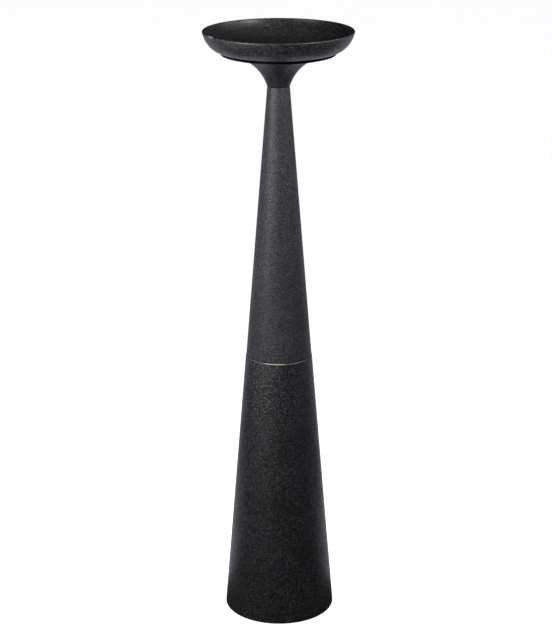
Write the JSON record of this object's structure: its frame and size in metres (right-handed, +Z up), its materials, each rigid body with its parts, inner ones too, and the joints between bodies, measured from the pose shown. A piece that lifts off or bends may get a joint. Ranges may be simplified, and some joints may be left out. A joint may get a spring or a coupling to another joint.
{
  "type": "pillar candle holder",
  "caption": "Tall pillar candle holder: a shallow round dish on a flared neck, above a slender column of two tapered sections that screw together on a weighted foot.",
  "frame": {"origin": "centre of the foot, on the surface that the holder stands on", "axes": "+Z up along the column's centre line, +X to the right as seen from the front"},
  "size_m": [0.1214, 0.1214, 0.5],
  "materials": {
    "coated_casting": "matt black powder coat with a fine sand texture",
    "rough_coated_casting": "matt black powder coat with a coarse sand texture",
    "bare_casting": "machined, uncoated",
    "zinc_steel": "zinc plated",
    "brass_bush": "machined",
    "black_rubber": "matt",
    "fibre_washer": "pressed fibre",
    "grey_iron": "as cast",
    "black_felt": "felt"
  },
  "bodies": {
    "base": {"lower_cone": "rough_coated_casting", "base_plug": "bare_casting", "base_nut": "zinc_steel", "base_weight": "grey_iron", "base_plate": "zinc_steel", "foot_screws": "zinc_steel", "felt": "black_felt"},
    "column_washer": {"column_washer": "fibre_washer"},
    "column": {"upper_cone": "coated_casting", "column_plug": "bare_casting", "column_stud": "zinc_steel", "column_nut": "zinc_steel", "neck_bush": "brass_bush"},
    "neck_washer": {"neck_washer": "fibre_washer"},
    "neck": {"neck": "coated_casting", "neck_stud": "zinc_steel", "dish_pad": "black_rubber", "dish_screw": "zinc_steel"},
    "dish": {"dish": "coated_casting"}
  },
  "joints": [
    {"name": "column_lift", "type": "slide", "parent": "base", "child": "column_washer", "axis": [0, 0, 1], "range_m": [0, 0.00851]},
    {"name": "column_turn", "type": "hinge", "parent": "column_washer", "child": "column", "pos_m": [0, 0, 0.229], "axis": [0, 0, 1], "range_deg": [0, 2448]},
    {"name": "neck_lift", "type": "slide", "parent": "column", "child": "neck_washer", "axis": [0, 0, 1], "range_m": [0, 0.01001]},
    {"name": "neck_turn", "type": "hinge", "parent": "neck_washer", "child": "neck", "pos_m": [0, 0, 0.4553], "axis": [0, 0, 1], "range_deg": [0, 3600]},
    {"name": "dish_turn", "type": "hinge", "parent": "neck", "child": "dish", "pos_m": [0, 0, 0.4829], "axis": [0, 0, 1], "continuous": true}
  ],
  "couplings": [
    {"joint": "column_lift", "follows": "column_turn", "m_per_rad": 0.00019894},
    {"joint": "neck_lift", "follows": "neck_turn", "m_per_rad": 0.00015915}
  ]
}
